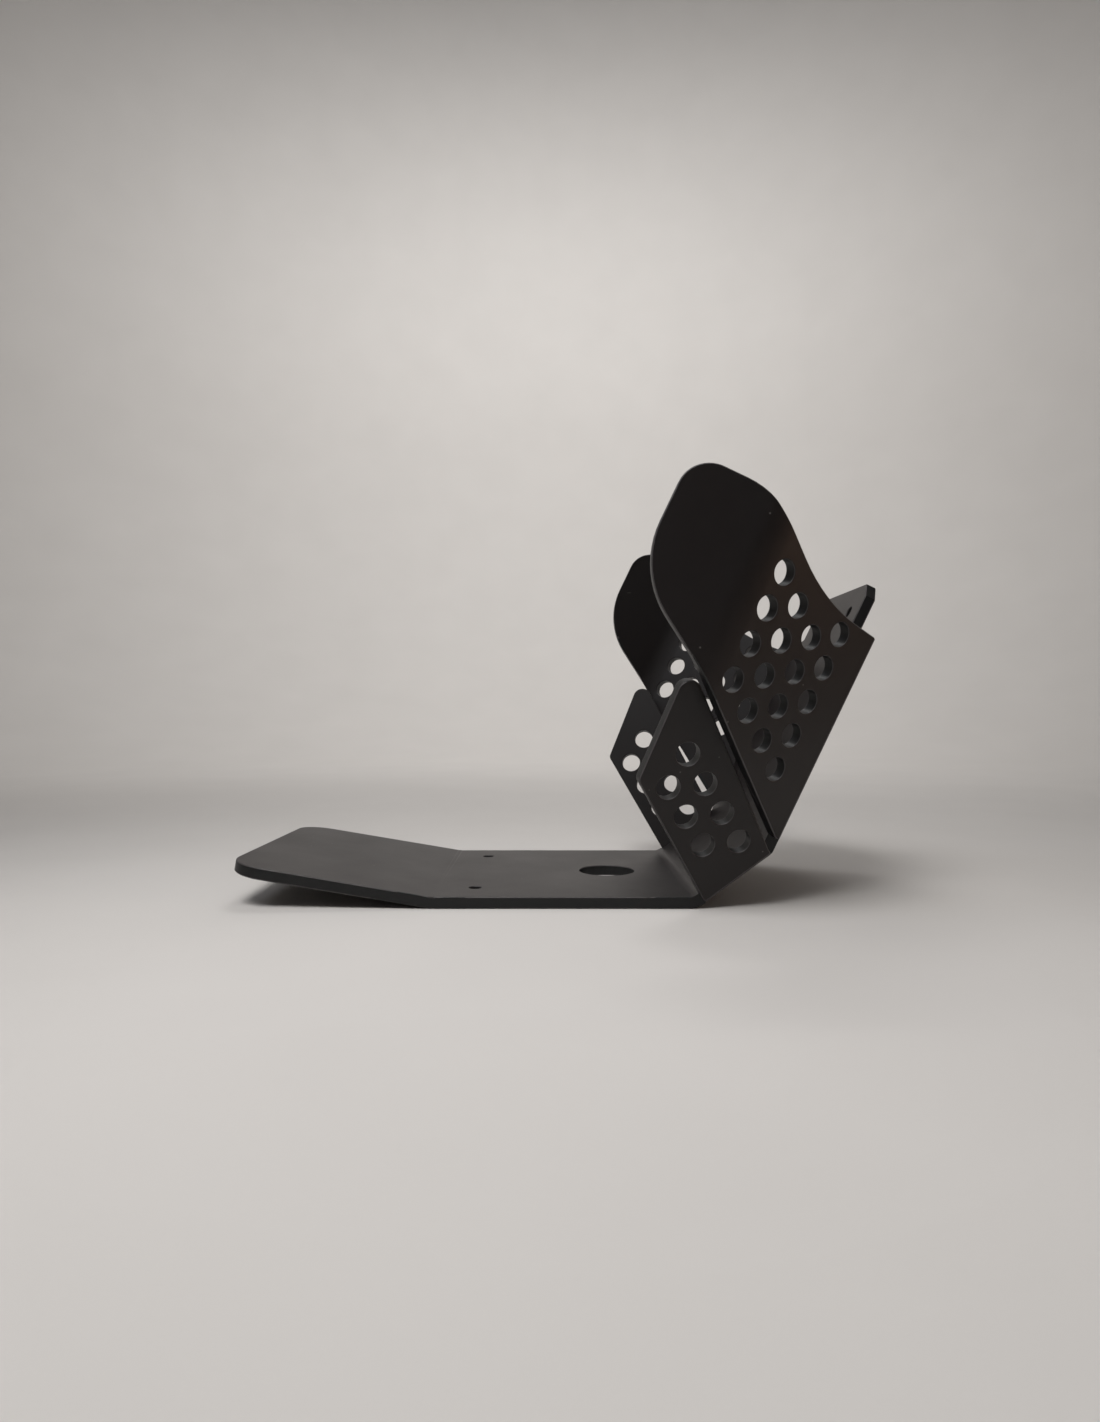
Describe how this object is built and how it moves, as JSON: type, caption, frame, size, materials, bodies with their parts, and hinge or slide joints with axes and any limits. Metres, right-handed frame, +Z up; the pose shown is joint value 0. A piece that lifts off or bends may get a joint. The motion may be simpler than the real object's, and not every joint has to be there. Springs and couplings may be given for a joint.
{
  "type": "motorcycle skid plate",
  "caption": "Folded black plastic skid plate for the underside of a motorcycle engine, with a flat base, a ramped front, perforated side wings and rounded ears.",
  "frame": {"origin": "middle of the flat base, on its underside", "axes": "+X forward along the motorcycle, +Y to its left, +Z up"},
  "size_m": [0.3383, 0.2288, 0.209],
  "materials": {
    "skid_plate": "matt black high-density polyethylene with a faint grain"
  },
  "bodies": {
    "root": {"skid_plate": "skid_plate"}
  },
  "joints": []
}
